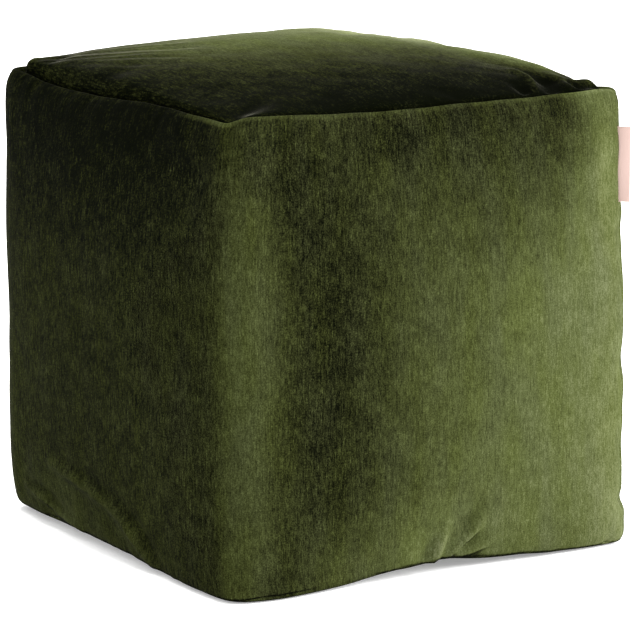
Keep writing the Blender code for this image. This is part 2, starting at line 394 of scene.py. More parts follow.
# Folds and dents in the band. along: mm from the side's middle to its right as one faces
# it, up: mm above the floor. spread: half the fold's width, depth: mm into the pouf, both
# at its middle, and a ridge's depth is negative. bow: how far the run curves to one side.
# edge: 2 for a soft trough, 1 for a sharp crease.
Fold = namedtuple("Fold", "side along up to_along to_up spread depth bow edge")
BAND_FOLDS = (
    Fold(FRONT, 131, 398, 139, 352, spread=11, depth=3.2, bow=3, edge=2),
    Fold(FRONT, 122, 360, 150, 318, spread=16, depth=1.6, bow=0, edge=2),
    Fold(FRONT, 172, 388, 166, 318, spread=13, depth=-2.6, bow=0, edge=2),
    Fold(FRONT, 150, 372, 156, 300, spread=9, depth=1.0, bow=2, edge=2),
    Fold(FRONT, -158, 398, -152, 350, spread=9, depth=2.0, bow=0, edge=2),
    Fold(FRONT, -52, 400, -46, 366, spread=14, depth=1.6, bow=0, edge=2),
    Fold(FRONT, 35, 52, 20, 35, spread=8, depth=5.0, bow=0, edge=2),
    Fold(FRONT, 42, 43, 9, 15, spread=3.2, depth=-4.4, bow=2, edge=2),
    Fold(FRONT, 39, 30, 20, 18, spread=4.5, depth=4.6, bow=1, edge=1.6),
    Fold(FRONT, 54, 23, 20, 14, spread=3.4, depth=-2.4, bow=1, edge=2),
    Fold(FRONT, 5, 46, -5, 13, spread=4.8, depth=-5.0, bow=-1, edge=2),
    Fold(FRONT, 14, 38, 5, 14, spread=4.0, depth=2.6, bow=0, edge=2),
    Fold(FRONT, -12, 30, -18, 13, spread=4.5, depth=3.0, bow=0, edge=1.8),
    Fold(FRONT, -33, 28, -32, 12, spread=8, depth=-2.0, bow=0, edge=2),
    Fold(FRONT, -88, 60, -84, 320, spread=46, depth=1.6, bow=6, edge=2),
    Fold(FRONT, -176, 22, -60, 16, spread=7, depth=1.2, bow=-3, edge=1.8),
    Fold(FRONT, -196, 3, -130, 5, spread=2.0, depth=2.0, bow=0, edge=1.6),
    Fold(LEFT, -60, 69, 34, 57, spread=8, depth=2.8, bow=0, edge=1.6),
    Fold(LEFT, -98, 64, 23, 46, spread=6, depth=-4.4, bow=3, edge=2),
    Fold(LEFT, 20, 47, 76, 10, spread=6, depth=-4.4, bow=1, edge=2),
    Fold(LEFT, 34, 53, 92, 14, spread=9, depth=3.0, bow=2, edge=2),
    Fold(LEFT, -70, 48, 10, 30, spread=9, depth=1.0, bow=2, edge=2),
    Fold(LEFT, -162, 31, -97, 17, spread=3.6, depth=-3.0, bow=1, edge=2),
    Fold(LEFT, -97, 17, -53, 9, spread=3.6, depth=-2.4, bow=0, edge=2),
    Fold(LEFT, -152, 37, -90, 25, spread=5, depth=2.6, bow=1, edge=1.8),
    Fold(LEFT, 110, 380, 190, 376, spread=9, depth=-1.8, bow=2, edge=2),
    Fold(LEFT, 120, 364, 185, 352, spread=11, depth=1.6, bow=0, edge=2),
    Fold(RIGHT, -120, 74, -40, 16, spread=10, depth=3.0, bow=4, edge=1.6),
    Fold(RIGHT, -96, 66, -10, 12, spread=7, depth=-1.8, bow=4, edge=2),
    Fold(RIGHT, 90, 12, 140, 70, spread=11, depth=2.2, bow=-3, edge=1.6),
    Fold(RIGHT, -150, 392, -140, 330, spread=12, depth=2.2, bow=0, edge=2),
    Fold(BACK, -90, 66, -30, 12, spread=9, depth=3.0, bow=4, edge=1.6),
    Fold(BACK, 40, 56, 110, 10, spread=10, depth=2.6, bow=-4, edge=1.6),
    Fold(BACK, 130, 380, 150, 320, spread=13, depth=2.0, bow=0, edge=2),
)


def fold_field(folds, along, up):
    """How far a table of folds pushes in at places given in mm."""
    depth = np.zeros_like(along)
    for fold in folds:
        run = np.array((fold.to_along - fold.along, fold.to_up - fold.up), float)
        length = np.hypot(*run)
        run /= length
        ahead = (along - fold.along) * run[0] + (up - fold.up) * run[1]
        aside = (up - fold.up) * run[0] - (along - fold.along) * run[1]
        share = ahead / length
        aside = aside - fold.bow * np.clip(4 * share * (1 - share), 0, 1)
        beyond = np.clip(np.maximum(-share, share - 1), 0, None) * length
        taper = np.exp(-((beyond / (1.2 * fold.spread)) ** 2))
        body = 0.45 + 0.55 * np.sin(pi * np.clip(share, 0, 1)) ** 0.8
        depth += fold.depth * taper * body * np.exp(-((np.abs(aside) / fold.spread) ** fold.edge))
    return depth


BULGED_SIDE = 420  # mm round a side half-way up


def gathers(around, distance, seed, count, reach, depth):
    """Small puckers that a seam draws across it: in mm, fading with distance from the seam."""
    draw = np.random.default_rng(seed)
    total = np.zeros_like(around)
    for place in draw.uniform(0, 4, count):
        width = draw.uniform(2.5, 6.5) / BULGED_SIDE
        size = depth * draw.uniform(0.3, 1.0)
        length = reach * draw.uniform(0.5, 1.3)
        lean = draw.uniform(-0.25, 0.25) / BULGED_SIDE
        gap = (around - place - lean * distance + 2) % 4 - 2
        total += size * np.exp(-((gap / width) ** 2)) * np.exp(-((distance / length) ** 1.3))
    return total


# The corners' sewn points at the top seam: how deep each pulls in, and how wide, in mm
Pinch = namedtuple("Pinch", "corner depth width")
PINCHES = (
    Pinch(0, depth=3.4, width=3.6),
    Pinch(1, depth=2.0, width=5.0),
    Pinch(2, depth=3.0, width=4.0),
    Pinch(3, depth=3.0, width=4.0),
)
SEAM_GROOVE = 4.6
SEAM_GROOVE_WIDTH = 2.3

# Where the closing seam's stitches draw in the corner: height, depth and spread in mm, and
# where it stands out between them the depth is negative
Pull = namedtuple("Pull", "up depth spread")
SEAM_PULLS = (
    Pull(166, depth=2.0, spread=12),
    Pull(140, depth=-1.6, spread=14),
    Pull(110, depth=-1.3, spread=15),
    Pull(85, depth=0.3, spread=13),
    Pull(39, depth=4.2, spread=7),
    Pull(30, depth=-1.2, spread=8),
    Pull(225, depth=-1.6, spread=30),
    Pull(282, depth=0.9, spread=12),
    Pull(299, depth=-1.7, spread=9),
)
SEAM_PULL_WIDTH = 15


def band_details(band):
    """Folds, puckers, sewn points and the closing seam's groove, pushed into the cloth."""
    points, normals = points_of(band), normals_of(band)
    around = (1 + cloth_places(band)[:, 0] / CLOTH_ROUND * 4) % 4
    x, y, z = points[:, 0] - CENTRE[0], points[:, 1] - CENTRE[1], points[:, 2]
    facing = np.arctan2(normals[:, 1], normals[:, 0])
    outward = (normals[:, 0] * x + normals[:, 1] * y) / np.hypot(x, y)
    outside = np.clip((outward - 0.25) * 3, 0, 1)
    inward = np.zeros(len(points))
    up = z / MM
    for side in range(4):
        direction = (side - 1) * pi / 2
        share = np.clip(np.cos(facing - direction), 0, 1) ** 2
        along = (y * cos(direction) - x * sin(direction)) / MM
        inward += share * fold_field([f for f in BAND_FOLDS if f.side == side], along, up)
    inward *= outside
    folds = inward.copy()
    below_lip = np.clip(LIP_HEIGHT + lip_rise(around) - z, 0, None) / MM
    above_foot = np.clip(z, 0, None) / MM
    inward += outside * gathers(around, below_lip, 3, 90, 22, 1.3)
    inward += outside * gathers(around, above_foot, 5, 80, 20, 1.2)
    inward += outside * 1.1 * undulation(points, 0.085, 2)
    inward += outside * 0.35 * undulation(points, 0.030, 4)
    for corner, depth, width in PINCHES:
        gap = ((around - corner + 2) % 4 - 2) * BULGED_SIDE
        fade = np.exp(-((below_lip / 20) ** 1.4))
        inward += outside * depth * np.exp(-(np.abs(gap) / width) ** 1.4) * fade
        crease = np.exp(-((below_lip / 34) ** 2)) * np.exp(-((gap - below_lip * 0.05) / 2.4) ** 2)
        inward += 1.6 * crease * outside
    wander = 1.2 * np.sin(up / 13.0) + 0.8 * np.sin(up / 5.7 + 2.0)
    gap = ((around - 1 + 2) % 4 - 2) * BULGED_SIDE - 0.5 * wander
    groove = SEAM_GROOVE * np.exp(-(np.abs(gap) / SEAM_GROOVE_WIDTH) ** 1.5)
    pull = 0.5 * np.sin(up / 9.0) * np.sin(up / 23.0 + 1.3)
    for tight in SEAM_PULLS:
        pull += tight.depth * np.exp(-(((up - tight.up) / tight.spread) ** 2))
    inward += outside * (groove + pull * np.exp(-((gap / SEAM_PULL_WIDTH) ** 2)))
    move_points(band, points - normals * (inward * MM)[:, None])
    return folds


FILLING_PRESSURE = 4.0
FILLING_FRAMES = 20
BAND_SWELL = 2.5 * MM


def filled(obj, sewn, swell):
    """The filling presses a piece's cloth out while its sewn edges are held.

    The cloth is simulated, and no point ends further than swell from where it was cut.
    """
    cut = points_of(obj)
    held = obj.vertex_groups.new(name="sewn")
    held.add(np.flatnonzero(sewn).tolist(), 1.0, "REPLACE")
    press = obj.modifiers.new("filling", "CLOTH")
    press.settings.vertex_group_mass = held.name
    press.settings.tension_stiffness = press.settings.compression_stiffness = 60
    press.settings.shear_stiffness = 20
    press.settings.bending_stiffness = 0.4
    press.settings.use_pressure = True
    press.settings.uniform_pressure_force = FILLING_PRESSURE
    press.settings.effector_weights.gravity = 0
    press.collision_settings.use_collision = False
    press.point_cache.frame_end = FILLING_FRAMES
    for step in range(1, FILLING_FRAMES + 1):
        bpy.context.scene.frame_set(step)
    bpy.ops.object.select_all(action="DESELECT")
    bpy.context.view_layer.objects.active = obj
    bpy.ops.object.modifier_apply(modifier=press.name)
    bpy.context.scene.frame_set(1)
    moved = points_of(obj) - cut
    distance = np.linalg.norm(moved, axis=1) + 1e-9
    move_points(obj, cut + moved * (np.tanh(distance / swell) * swell / distance)[:, None])


HELD_FOOT = 47 * MM  # of the cloth, from its lower edge to where it leaves the floor
HELD_LIP = 14 * MM
band = band_grid()
band_around, band_up = (cloth_places(band) / (CLOTH_ROUND, 1)).T
band_sewn = (band_up < HELD_FOOT) | (points_of(band)[:, 2] > LIP_HEIGHT - HELD_LIP)
filled(band, band_sewn | (np.abs(band_around) < 0.001), BAND_SWELL)
subdivided(band)
band_folds = band_details(band)
close_ends(band)
band.data.shade_smooth()


def linear(code):
    """An sRGB hex colour as linear red, green, blue and alpha."""
    channels = [int(code[i : i + 2], 16) / 255 for i in (1, 3, 5)]
    return [c / 12.92 if c <= 0.04045 else ((c + 0.055) / 1.055) ** 2.4 for c in channels] + [1.0]


def node(tree, kind, links=(), **settings):
    """Adds a node with its settings and links. An input is named by its name or number."""
    made = tree.nodes.new(kind)
    for key, value in settings.items():
        setattr(made, key, value)
    for key, source in dict(links).items():
        if isinstance(source, bpy.types.NodeSocket):
            tree.links.new(source, made.inputs[key])
        else:
            made.inputs[key].default_value = source
    return made


BLACKEST = -0.4


def set_pile_and_painted_light(obj, values):
    """Stores the pile's lightness at each vertex, from 0 to 1: the pile's lean together with
    painted light and shade. Below 0 only the lightest specks are left."""
    pile_and_painted_light = obj.data.attributes.new("pile_and_painted_light", "FLOAT", "POINT")
    pile_and_painted_light.data.foreach_set("value", np.clip(values, BLACKEST, 1).astype(np.float32))


# Cut-pile velvet: short dense polyester pile in close vertical rows. Pile that leans away
# from the light swallows it and looks almost black, pile that leans towards it is a light
# olive, and the tips are a little greyer. The colours are even steps from dark to light, picked by a
# per-vertex lightness that holds painted light and shade along with the pile's lean.
PILE_SHADES = ("#030401", "#171909", "#2b2f16", "#404626", "#595e3f", "#6f7456")
PILE_SHEEN = "#c8c6b2"

# The pile's marks: how wide and long they are in mm, how far each kind lightens or darkens
# the pile, and how much it stands up. The rows are two or three of the real ones, which are
# too fine to show.
Grain = namedtuple("Grain", "kind width length detail depth relief")
PILE_GRAIN = (
    Grain("rows", width=2.8, length=11, detail=1.0, depth=0.27, relief=0.4),
    Grain("ribs", width=2.6, length=60, detail=0.0, depth=0.12, relief=0.0),
    Grain("tufts", width=2.3, length=2.8, detail=1.5, depth=0.43, relief=0.6),
    Grain("strokes", width=6, length=22, detail=3.0, depth=0.30, relief=0.0),
    Grain("patches", width=45, length=45, detail=3.0, depth=0.20, relief=0.0),
)
DARK_CONTRAST = 1.35  # how much more the marks stand out where the pile's lightness, painted shade included, is low
GREY_WIDTH = 26
GREY_LENGTH = 110


def velvet(name, stroke_turn, gloss, sheen, sheen_spread):
    """The velvet, in the cloth's own metres, with its brushed strokes turned by an angle."""
    made = bpy.data.materials.new(name)
    made.use_nodes = True
    tree = made.node_tree
    shader = tree.nodes["Principled BSDF"]
    cloth = node(tree, "ShaderNodeUVMap", uv_map="UVMap").outputs["UV"]
    # the per-vertex lightness: the pile's lean with painted light and shade in it
    pile_and_painted_light = node(tree, "ShaderNodeAttribute", attribute_name="pile_and_painted_light").outputs["Fac"]
    darkness = node(tree, "ShaderNodeMath", {0: 1.0, 1: pile_and_painted_light}, operation="SUBTRACT", use_clamp=True)
    deepest = node(tree, "ShaderNodeMath", {0: darkness.outputs[0], 1: 3.0}, operation="POWER")
    contrast = node(tree, "ShaderNodeMath", {
        0: deepest.outputs[0], 1: DARK_CONTRAST, 2: 1.0,
    }, operation="MULTIPLY_ADD")
    shade = pile_and_painted_light
    relief = 0.0
    for mark in PILE_GRAIN:
        # a light mark and the dark one beside it take about two units of the noise
        place = node(tree, "ShaderNodeMapping", {
            "Vector": cloth,
            "Rotation": (0, 0, stroke_turn if mark.kind == "strokes" else 0),
            "Scale": (2 / (mark.width * MM), 2 / (mark.length * MM), 1),
        })
        marks = node(tree, "ShaderNodeTexNoise", {
            "Vector": place.outputs[0], "Scale": 1.0, "Detail": mark.detail, "Roughness": 0.65,
        }).outputs["Fac"]
        speck = node(tree, "ShaderNodeMath", {
            0: marks, 1: mark.depth, 2: -mark.depth / 2,
        }, operation="MULTIPLY_ADD")
        shade = node(tree, "ShaderNodeMath", {
            0: speck.outputs[0], 1: contrast.outputs[0], 2: shade,
        }, operation="MULTIPLY_ADD").outputs[0]
        if mark.relief:
            relief = node(tree, "ShaderNodeMath", {
                0: marks, 1: mark.relief, 2: relief,
            }, operation="MULTIPLY_ADD").outputs[0]
    ramp = node(tree, "ShaderNodeValToRGB", {"Fac": shade})
    stops = ramp.color_ramp.elements
    while len(stops) < len(PILE_SHADES):
        stops.new(0.5)
    for step, code in enumerate(PILE_SHADES):
        stops[step].position = step / (len(PILE_SHADES) - 1)
        stops[step].color = linear(code)
    place = node(tree, "ShaderNodeMapping", {
        "Vector": cloth,
        "Location": (3, 5, 0),
        "Scale": (1 / (GREY_WIDTH * MM), 1 / (GREY_LENGTH * MM), 1),
    })
    greyer = node(tree, "ShaderNodeTexNoise", {"Vector": place.outputs[0], "Scale": 1.0, "Detail": 3.0})
    greyer = node(tree, "ShaderNodeMapRange", {
        "Value": greyer.outputs["Fac"],
        "From Min": 0.35,
        "From Max": 0.65,
        "To Min": 0.92,
        "To Max": 1.04,
    })
    colour = node(tree, "ShaderNodeHueSaturation", {
        "Color": ramp.outputs["Color"], "Saturation": greyer.outputs[0],
    })
    tree.links.new(colour.outputs["Color"], shader.inputs["Base Color"])
    bump = node(tree, "ShaderNodeBump", {"Strength": 0.5, "Distance": 0.5 * MM, "Height": relief})
    tree.links.new(bump.outputs["Normal"], shader.inputs["Normal"])
    shader.inputs["Roughness"].default_value = 0.9
    shader.inputs["Specular IOR Level"].default_value = gloss
    shader.inputs["Sheen Weight"].default_value = sheen
    shader.inputs["Sheen Roughness"].default_value = sheen_spread
    shader.inputs["Sheen Tint"].default_value = linear(PILE_SHEEN)
    return made


# How light the pile is round the band, from 0 to 1, at five heights in mm: the pile's lean
# together with painted light and shade, darkest on the left side and towards the lip, lightest at the
# front's right
PILE_HEIGHTS = (25, 80, 250, 345, 385)
PileAndPaintedLight = namedtuple("PileAndPaintedLight", "side along foot low middle upper lip")
BAND_PILE_AND_PAINTED_LIGHT = (
    PileAndPaintedLight(FRONT, -205, 0.40, 0.40, 0.45, 0.36, 0.31),
    PileAndPaintedLight(FRONT, -185, 0.40, 0.42, 0.48, 0.37, 0.18),
    PileAndPaintedLight(FRONT, -160, 0.24, 0.26, 0.31, 0.19, 0.20),
    PileAndPaintedLight(FRONT, -135, 0.32, 0.20, 0.20, 0.15, 0.21),
    PileAndPaintedLight(FRONT, -110, 0.38, 0.20, 0.15, 0.20, 0.21),
    PileAndPaintedLight(FRONT, -85, 0.42, 0.27, 0.23, 0.24, 0.20),
    PileAndPaintedLight(FRONT, -50, 0.52, 0.37, 0.33, 0.29, 0.16),
    PileAndPaintedLight(FRONT, -10, 0.62, 0.44, 0.41, 0.29, 0.18),
    PileAndPaintedLight(FRONT, 25, 0.60, 0.50, 0.43, 0.30, 0.18),
    PileAndPaintedLight(FRONT, 60, 0.58, 0.54, 0.48, 0.29, 0.20),
    PileAndPaintedLight(FRONT, 100, 0.58, 0.57, 0.56, 0.33, 0.26),
    PileAndPaintedLight(FRONT, 125, 0.56, 0.60, 0.59, 0.34, 0.18),
    PileAndPaintedLight(FRONT, 150, 0.60, 0.63, 0.62, 0.58, 0.38),
    PileAndPaintedLight(FRONT, 175, 0.72, 0.66, 0.64, 0.64, 0.56),
    PileAndPaintedLight(FRONT, 200, 0.70, 0.64, 0.64, 0.59, 0.52),
    PileAndPaintedLight(RIGHT, -180, 0.50, 0.50, 0.50, 0.44, 0.30),
    PileAndPaintedLight(RIGHT, -90, 0.48, 0.42, 0.40, 0.30, 0.22),
    PileAndPaintedLight(RIGHT, 60, 0.44, 0.38, 0.36, 0.26, 0.18),
    PileAndPaintedLight(RIGHT, 190, 0.40, 0.40, 0.42, 0.32, 0.22),
    PileAndPaintedLight(BACK, -180, 0.38, 0.34, 0.36, 0.26, 0.18),
    PileAndPaintedLight(BACK, -100, 0.36, 0.24, 0.22, 0.18, 0.16),
    PileAndPaintedLight(BACK, 30, 0.42, 0.34, 0.32, 0.22, 0.14),
    PileAndPaintedLight(BACK, 170, 0.36, 0.34, 0.32, 0.20, 0.12),
    PileAndPaintedLight(LEFT, -190, 0.28, 0.29, 0.23, 0.12, 0.09),
    PileAndPaintedLight(LEFT, -165, 0.27, 0.22, 0.17, 0.01, -0.03),
    PileAndPaintedLight(LEFT, -75, 0.35, 0.18, 0.16, 0.00, -0.08),
    PileAndPaintedLight(LEFT, 0, 0.27, 0.18, 0.16, 0.00, -0.07),
    PileAndPaintedLight(LEFT, 75, 0.25, 0.20, 0.17, 0.03, -0.08),
    PileAndPaintedLight(LEFT, 125, 0.19, 0.20, 0.17, 0.07, -0.06),
    PileAndPaintedLight(LEFT, 160, 0.19, 0.19, 0.18, 0.12, 0.03),
    PileAndPaintedLight(LEFT, 188, 0.18, 0.23, 0.24, 0.20, 0.12),
)

# A painted highlight along the top of the lip: how much lighter the pile is painted there
PaintedHighlight = namedtuple("PaintedHighlight", "side along light")
LIP_PAINTED_HIGHLIGHT = (
    PaintedHighlight(FRONT, -190, 0.12),
    PaintedHighlight(FRONT, 180, 0.10),
    PaintedHighlight(RIGHT, -100, 0.08),
    PaintedHighlight(BACK, 0, 0.02),
    PaintedHighlight(LEFT, -150, 0.02),
    PaintedHighlight(LEFT, -60, 0.12),
    PaintedHighlight(LEFT, -15, 0.14),
    PaintedHighlight(LEFT, 20, 0.04),
    PaintedHighlight(LEFT, 105, 0.06),
    PaintedHighlight(LEFT, 135, 0.30),
    PaintedHighlight(LEFT, 185, 0.32),
)
LIP_HIGHLIGHT_DEPTH = 4.5 * MM
PILE_SOFTNESS = 9  # mm
FOLD_PAINTED_SHADE = 0.026  # painted light for each mm of a fold's ridge, and painted shade in its trough


def eased(share):
    """A share from 0 to 1 with a soft start and end."""
    share = np.clip(share, 0, 1)
    return share * share * (3 - 2 * share)


def band_painted_light(band, folds):
    """The band's pile lean with painted light and shade: light over the near fold, dark beside it,
    lighter towards the sewn corner and at the foot, painted shade under the lip, a painted
    highlight along the top of the lip, painted light and shade on the folds, and painted shade
    where the cloth faces down."""
    points = points_of(band)
    around = (1 + cloth_places(band)[:, 0] / CLOTH_ROUND * 4) % 4
    up = points[:, 2] / MM
    pile_and_painted_light = np.zeros(len(points))
    for index, column in enumerate(PileAndPaintedLight._fields[2:]):
        share = np.interp(up, PILE_HEIGHTS, np.eye(len(PILE_HEIGHTS))[index])
        pile_and_painted_light += share * round_the_band(BAND_PILE_AND_PAINTED_LIGHT, column, around, PILE_SOFTNESS)
    # the painted highlight along the top of the lip
    lip = eased((points[:, 2] - lip_rise(around) - LIP_HEIGHT + LIP_HIGHLIGHT_DEPTH) / (3 * MM))
    pile_and_painted_light += lip * round_the_band(LIP_PAINTED_HIGHLIGHT, "light", around, PILE_SOFTNESS)
    # painted shade where the band's cloth faces down, under the rolled foot
    under = np.clip(3 * (-normals_of(band)[:, 2] - 0.45), 0, 1)
    # painted light on fold ridges and painted shade in their troughs
    set_pile_and_painted_light(band, (pile_and_painted_light - FOLD_PAINTED_SHADE * folds) * (1 - under) - 0.2 * under)


band_painted_light(band, band_folds)
band.data.materials.append(
    velvet("olive_cut_velvet_band", radians(14), gloss=0.01, sheen=0.012, sheen_spread=0.3)
)
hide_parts("side_band")
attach(band, "root")

# ---------------------------------------------------------------------------------------
# The top panel: a square of the same velvet, sewn in all round behind the band's lip. The
# filling pushes it up steeply from the seam to a broad crown that leans to the back.
# ---------------------------------------------------------------------------------------
_, top_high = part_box("top_panel")
TOP_CELLS = 150
TOP_SEAM = LIP_HEIGHT - 6.6 * MM
TOP_HALF = BAND_HALF - 30.0 * MM
TOP_RADIUS = 8 * MM
TOP_BULGE = 1.2 * MM
TOP_DRAW = 3.0 * MM
CROWN_ROUND = 1.6
CROWN_STEEP = 0.20
CROWN_LEAN = 0.36
CROWN_PEAK = 1.09  # the lean puts the highest point this much above the middle
CROWN_RISE = (top_high.z - TOP_SEAM) / CROWN_PEAK
TOP_CLOTH = 0.40


def crown_rings(count):
    """Shares of the half width at which the top's rings lie, evenly along its curve."""
    share = 1 - np.linspace(0, 1, 5 * CURVE_STEPS) ** 3
    rise = CROWN_RISE * (1 - share**CROWN_ROUND) ** CROWN_STEEP
    length = np.concatenate(([0], np.cumsum(np.hypot(np.diff(share) * TOP_HALF, np.diff(rise)))))
    wanted = np.linspace(0, length[-1], count + 1)
    return np.interp(wanted, length, share)


# Folds in the top, in mm from its middle: along +X, and towards the back (+Y)
TOP_FOLDS = (
    Fold(0, 168, -10, 182, -140, spread=22, depth=-6.8, bow=0, edge=2),
    Fold(0, 158, 96, 168, 38, spread=22, depth=-2.6, bow=0, edge=2),
    Fold(0, 40, 150, 150, 152, spread=30, depth=-4.0, bow=0, edge=2),
    Fold(0, -192, 192, -178, 182, spread=10, depth=-3.4, bow=0, edge=2),
    Fold(0, 138, -112, 111, -190, spread=3.9, depth=-4.4, bow=5, edge=1.6),
    Fold(0, 108, -164, 102, -190, spread=6, depth=4.0, bow=0, edge=2),
    Fold(0, 150, -134, 128, -190, spread=9, depth=5.0, bow=3, edge=2),
    Fold(0, 164, -130, 148, -188, spread=6, depth=-3.2, bow=3, edge=2),
    Fold(0, 166, -166, 164, -190, spread=5, depth=3.4, bow=0, edge=2),
    Fold(0, 189, -142, 180, -150, spread=4, depth=1.8, bow=0, edge=2),
    Fold(0, 190, -155, 180, -174, spread=7, depth=-3.6, bow=0, edge=2),
    Fold(0, -150, 176, -186, 150, spread=9, depth=1.6, bow=0, edge=2),
    Fold(0, -178, -180, -140, -150, spread=10, depth=1.3, bow=0, edge=2),
    Fold(0, -90, -188, -76, -150, spread=16, depth=1.4, bow=0, edge=2),
    Fold(0, 20, -188, 34, -158, spread=14, depth=1.6, bow=0, edge=2),
    Fold(0, -188, 40, -164, 46, spread=18, depth=1.6, bow=0, edge=2),
    Fold(0, 150, 190, 178, 140, spread=9, depth=2.0, bow=3, edge=1.6),
    Fold(0, 60, 188, 52, 164, spread=12, depth=1.4, bow=0, edge=2),
)


def square_rings(obj, rings):
    """For each point of a square grid, which of its rings it is on, counted from the middle,
    and how far round that ring it is, at shares 0 to 4 as round the band."""
    grid = points_of(obj) * 2
    ring = np.maximum(np.abs(grid[:, 0]), np.abs(grid[:, 1]))
    inner = np.where(ring > 0, ring, 1)
    gx, gy = grid[:, 0] / inner, grid[:, 1] / inner
    side = np.select([gy <= -0.9999, gx >= 0.9999, gy >= 0.9999], [FRONT, RIGHT, BACK], LEFT)
    along = np.select([side == FRONT, side == RIGHT, side == BACK], [gx, gy, -gx], -gy)
    return np.rint(ring * rings).astype(int), side + np.clip((along + 1) / 2, 0, 0.999999)


def top_grid():
    """A square grid whose rings keep the seam's outline, each smaller and higher."""
    top = surface("velvet_top", TOP_CELLS, TOP_CELLS)
    ring, around = square_rings(top, TOP_CELLS // 2)
    share = crown_rings(TOP_CELLS // 2)[::-1][ring]
    x, y, _ = outline(around, TOP_HALF, TOP_BULGE, TOP_RADIUS)
    inward = np.minimum(np.abs(x), np.abs(y)) * share / TOP_HALF
    rise = (1 - share**CROWN_ROUND) * (1 - np.clip(inward, 0, 1) ** CROWN_ROUND)
    lean = 1 + CROWN_LEAN * y * share / TOP_HALF
    x, y = placed(x * share, y * share, TOP_HALF, TOP_DRAW * share**6)
    rise_here = lip_rise(around) * share**14
    z = TOP_SEAM + CROWN_RISE * rise**CROWN_STEEP * lean + rise_here
    move_points(top, np.stack((x, y, z), axis=1))
    set_cloth_map(top, (cloth_map(top) - 0.5) * TOP_CLOTH)
    return top, around, share


def top_details(top, around, share):
    """Folds by the sewn corner, puckers along the seam and lumps of filling."""
    points, normals = points_of(top), normals_of(top)
    along, back = (points[:, 0] - CENTRE[0]) / MM, (points[:, 1] - CENTRE[1]) / MM
    free = np.clip((1 - share) * 60, 0, 1)
    folds = free * fold_field(TOP_FOLDS, along, back)
    down = folds.copy()
    from_seam = (1 - share) * TOP_HALF / MM
    down += free * gathers(around, from_seam, 11, 46, 9, 0.9)
    down += free * 1.3 * undulation(points, 0.075, 7) + free * 0.4 * undulation(points, 0.028, 9)
    move_points(top, points - normals * (down * MM)[:, None])
    return folds


TOP_SWELL = 2.5 * MM
TOP_SEWN = 0.985  # of its half width
top, top_around, top_share = top_grid()
filled(top, top_share > TOP_SEWN, TOP_SWELL)
top_folds = top_details(top, top_around, top_share)


# Painted light and shade on the top, dark at the front and a painted sheen towards the back:
# how light the pile is at places in mm from its front to its back, and how many times that
# from its left to its right
TOP_PAINTED_LIGHT_BACK = (
    (-185, -0.12), (-150, -0.05), (-95, 0.09), (-50, 0.22),
    (0, 0.35), (60, 0.54), (110, 0.57), (190, 0.45),
)
TOP_PAINTED_LIGHT_ALONG = (
    (-195, 0.05), (-150, 0.42), (-100, 0.82), (-40, 0.95),
    (60, 1.02), (100, 1.15), (130, 1.4),
)
# painted light on the top's fold ridges and painted shade in their troughs, three times as strong
TOP_FOLD_PAINTED_SHADE = 3 * FOLD_PAINTED_SHADE


def top_painted_light(top, folds):
    """Painted light and shade on the top: dark at its front and left edge, a painted sheen over
    the far crown, painted light on fold ridges and painted shade in their troughs.
    """
    along = (points_of(top)[:, 0] - CENTRE[0]) / MM
    back = (points_of(top)[:, 1] - CENTRE[1]) / MM
    pile_and_painted_light = np.interp(back, *zip(*TOP_PAINTED_LIGHT_BACK)) * np.interp(along, *zip(*TOP_PAINTED_LIGHT_ALONG))
    set_pile_and_painted_light(top, pile_and_painted_light - TOP_FOLD_PAINTED_SHADE * folds)


top_painted_light(top, top_folds)
subdivided(top)
close_ends(top)
top.data.shade_smooth()
top.data.materials.append(
    velvet("olive_cut_velvet_top", radians(-70), gloss=0.005, sheen=0.27, sheen_spread=0.14)
)
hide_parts("top_panel")
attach(top, "root")

# ---------------------------------------------------------------------------------------
# The bottom panel: a square of the same velvet under the pouf. The filling rolls the band
# under all round, so the seam lies below, and the weight presses the panel flat.
# ---------------------------------------------------------------------------------------
BOTTOM_HEIGHT = 5.2 * MM
BOTTOM_HALF = BAND_HALF - 38.0 * MM
BOTTOM_BULGE = 3.0 * MM
BOTTOM_RADIUS = 14 * MM
BOTTOM_DRAW = 1.0 * MM
BOTTOM_CELLS = 100
BOTTOM_CLOTH = 0.41
BOTTOM_PILE = 0.35

# The panel's rolled edge, from its open edge inside the pouf to where it lies flat: shares of
# the half width, and of the height of the bottom seam
Ring = namedtuple("Ring", "share lift")
BOTTOM_RINGS = (
    Ring(1.0, lift=4.0),
    Ring(1.0, lift=1.0),
    Ring(1.0, lift=0.6),
    Ring(0.9985, lift=0.3),
    Ring(0.994, lift=0.1),
    Ring(0.985, lift=0.02),
    Ring(0.97, lift=0.0),
)
ARCH_START = 0.85  # of the half width: outside it the panel rises with the foot
ARCH_RISE = 0.86


def bottom_grid():
    """A square grid, flat on the floor inside a rolled edge that rises with the foot."""
    bottom = surface("velvet_bottom", BOTTOM_CELLS, BOTTOM_CELLS)
    ring, around = square_rings(bottom, BOTTOM_CELLS // 2)
    edge = np.array(BOTTOM_RINGS[::-1])
    flat = np.linspace(0, edge[0, 0], BOTTOM_CELLS // 2 - len(edge) + 2)[:-1]
    share = np.concatenate((flat, edge[:, 0]))[ring]
    lift = np.concatenate((np.zeros(len(flat)), edge[:, 1]))[ring]
    x, y, _ = outline(around, BOTTOM_HALF, BOTTOM_BULGE, BOTTOM_RADIUS)
    x, y = placed(x * share, y * share, BAND_HALF, BOTTOM_DRAW)
    rise = ARCH_RISE * foot_lift(around) * eased((share - ARCH_START) / (1 - ARCH_START))
    z = BOTTOM_HEIGHT * lift + np.where(lift > 1, 0, rise)
    move_points(bottom, np.stack((x, y, z), axis=1))
    set_cloth_map(bottom, (cloth_map(bottom) - 0.5) * BOTTOM_CLOTH)
    return bottom


